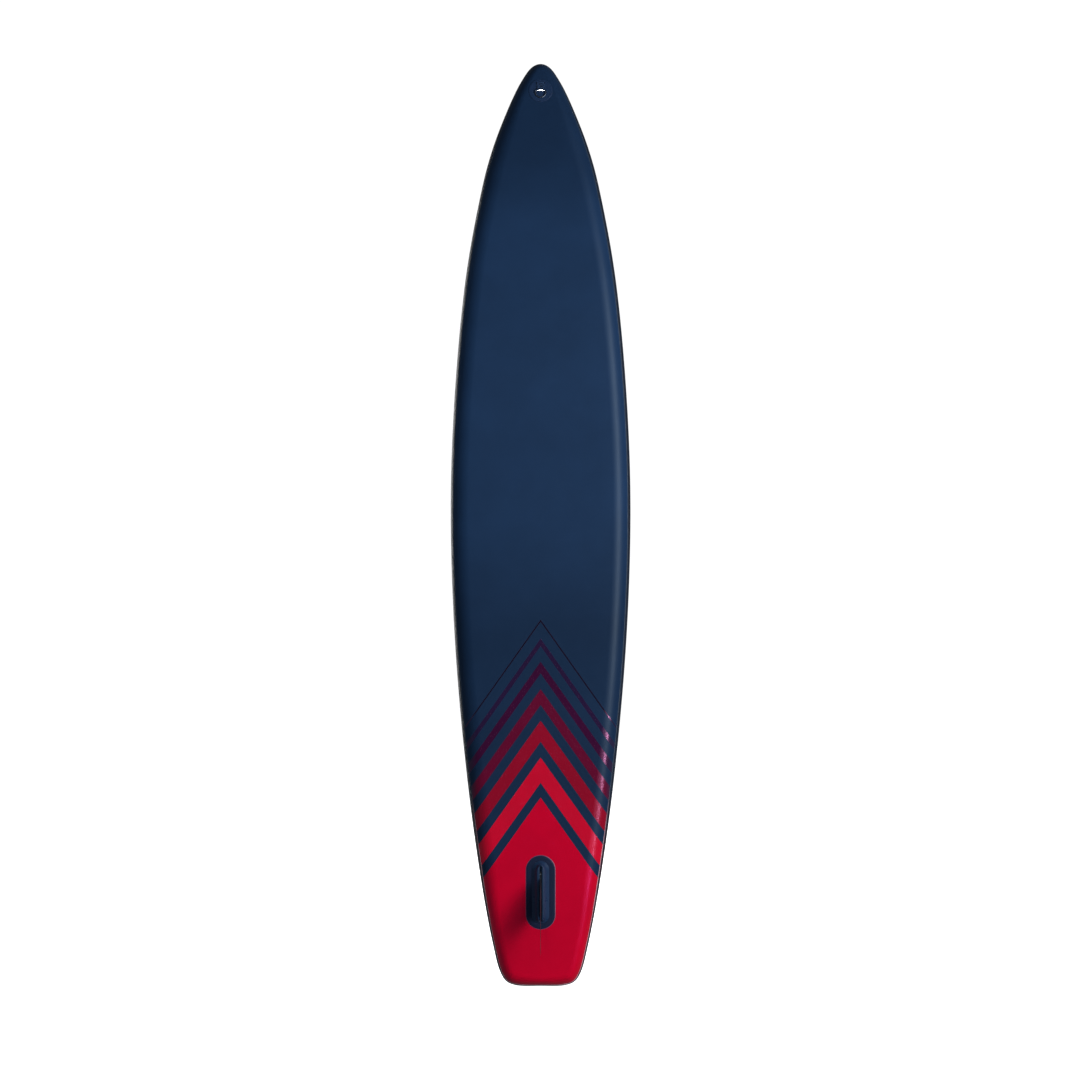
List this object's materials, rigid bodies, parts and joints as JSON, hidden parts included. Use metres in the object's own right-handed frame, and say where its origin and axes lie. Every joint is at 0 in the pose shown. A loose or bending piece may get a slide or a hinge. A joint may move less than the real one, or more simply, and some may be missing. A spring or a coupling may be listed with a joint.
{
  "type": "stand up paddleboard",
  "caption": "Inflatable touring paddleboard with a raked centre fin in a slot box, a tow ring under the nose, cargo rings, carry handles, deck pads and an air valve.",
  "frame": {"origin": "middle of the tail's end, halfway through the hull's thickness", "axes": "+Z along the board from tail to nose, -Y out of the underside that carries the fin, +Y out of the deck, +X to the right of a viewer who faces the underside"},
  "size_m": [0.7382, 0.5216, 3.81],
  "materials": {
    "underside_pvc": "satin printed PVC",
    "deck_pvc": "satin PVC",
    "rail_pvc": "satin PVC",
    "patch_pvc": "satin PVC",
    "wall_pvc": "matte PVC",
    "core_cloth": "woven polyester",
    "pad_foam": "embossed EVA foam",
    "webbing": "woven polyester",
    "steel": "polished stainless",
    "box_plastic": "moulded",
    "fin_plastic": "moulded",
    "brass": "turned",
    "valve_plastic": "moulded",
    "seal_rubber": "matte"
  },
  "bodies": {
    "hull": {"bottom_skin": "underside_pvc", "deck_skin": "deck_pvc", "rail_band_left": "rail_pvc", "rail_band_right": "rail_pvc", "side_wall_left": "wall_pvc", "side_wall_right": "wall_pvc", "deck_pad": "pad_foam", "kick_pad": "pad_foam", "fin_box_flange": "patch_pvc", "fin_box": "box_plastic", "centre_handle_tab_fore": "webbing", "centre_handle_tab_aft": "webbing", "centre_handle_patch_fore": "patch_pvc", "centre_handle_patch_aft": "patch_pvc", "nose_handle_tab_fore": "webbing", "nose_handle_tab_aft": "webbing", "nose_handle_patch_fore": "patch_pvc", "nose_handle_patch_aft": "patch_pvc", "valve_gasket": "seal_rubber", "valve_body": "valve_plastic", "valve_nut": "valve_plastic", "valve_spring": "steel", "valve_cap_strap": "seal_rubber", "core_tail": "core_cloth", "core_main": "core_cloth", "core_nose_1": "core_cloth", "core_nose_2": "core_cloth", "core_nose_3": "core_cloth", "core_nose_4": "core_cloth", "core_nose_5": "core_cloth", "nose_tow_patch": "patch_pvc", "nose_tow_loop": "webbing", "leash_patch": "patch_pvc", "leash_loop": "webbing", "cargo_1_patch": "patch_pvc", "cargo_1_loop": "webbing", "cargo_2_patch": "patch_pvc", "cargo_2_loop": "webbing", "cargo_3_patch": "patch_pvc", "cargo_3_loop": "webbing", "cargo_4_patch": "patch_pvc", "cargo_4_loop": "webbing"},
    "fin": {"fin_blade": "fin_plastic", "fin_roll_pin": "brass", "fin_nut_plate": "steel"},
    "fin_screw": {"fin_screw": "steel"},
    "centre_handle": {"centre_handle_strap": "webbing", "centre_handle_grip": "pad_foam"},
    "nose_handle": {"nose_handle_strap": "webbing"},
    "valve_poppet": {"valve_poppet": "valve_plastic", "valve_seal": "seal_rubber"},
    "valve_cap": {"valve_cap": "valve_plastic"},
    "nose_tow_ring": {"nose_tow_ring": "steel"},
    "leash_ring": {"leash_ring": "steel"},
    "cargo_1_ring": {"cargo_1_ring": "steel"},
    "cargo_2_ring": {"cargo_2_ring": "steel"},
    "cargo_3_ring": {"cargo_3_ring": "steel"},
    "cargo_4_ring": {"cargo_4_ring": "steel"}
  },
  "joints": [
    {"name": "fin_slide", "type": "slide", "parent": "hull", "child": "fin", "axis": [0, 0, 1], "range_m": [-0.024, 0.02]},
    {"name": "fin_screw_turn", "type": "hinge", "parent": "fin", "child": "fin_screw", "pos_m": [0, -0.0867, 0.468], "axis": [0, -1, 0], "continuous": true},
    {"name": "centre_handle_tip", "type": "hinge", "parent": "hull", "child": "centre_handle", "pos_m": [0, 0.0832, 1.8], "axis": [0, 0, 1], "range_deg": [-40, 40]},
    {"name": "nose_handle_lift", "type": "hinge", "parent": "hull", "child": "nose_handle", "pos_m": [0, 0.16849, 3.4985], "axis": [1, 0, 0], "range_deg": [0, 80]},
    {"name": "valve_cap_open", "type": "hinge", "parent": "hull", "child": "valve_cap", "pos_m": [-0.086, 0.0842, 0.1416], "axis": [1, 0, 0], "range_deg": [0, 150]},
    {"name": "valve_poppet_press", "type": "slide", "parent": "hull", "child": "valve_poppet", "axis": [0, -1, 0], "range_m": [0, 0.006], "stiffness_N_per_m": 600, "springref_m": -0.004, "deforming": ["valve_spring"]},
    {"name": "nose_tow_ring_swing", "type": "hinge", "parent": "hull", "child": "nose_tow_ring", "pos_m": [0, 0.04059, 3.68639], "axis": [-1, 0, 0], "range_deg": [0, 160]},
    {"name": "leash_ring_swing", "type": "hinge", "parent": "hull", "child": "leash_ring", "pos_m": [0, 0.08135, 0.118], "axis": [1, 0, 0], "range_deg": [-3, 160]},
    {"name": "cargo_1_ring_swing", "type": "hinge", "parent": "hull", "child": "cargo_1_ring", "pos_m": [-0.18, 0.08264, 2.65986], "axis": [1, 0, 0], "range_deg": [-4, 160]},
    {"name": "cargo_2_ring_swing", "type": "hinge", "parent": "hull", "child": "cargo_2_ring", "pos_m": [0.18, 0.08264, 2.65986], "axis": [1, 0, 0], "range_deg": [-4, 160]},
    {"name": "cargo_3_ring_swing", "type": "hinge", "parent": "hull", "child": "cargo_3_ring", "pos_m": [-0.15, 0.1061, 3.05936], "axis": [1, 0, 0], "range_deg": [-8, 160]},
    {"name": "cargo_4_ring_swing", "type": "hinge", "parent": "hull", "child": "cargo_4_ring", "pos_m": [0.15, 0.1061, 3.05936], "axis": [1, 0, 0], "range_deg": [-8, 160]}
  ]
}
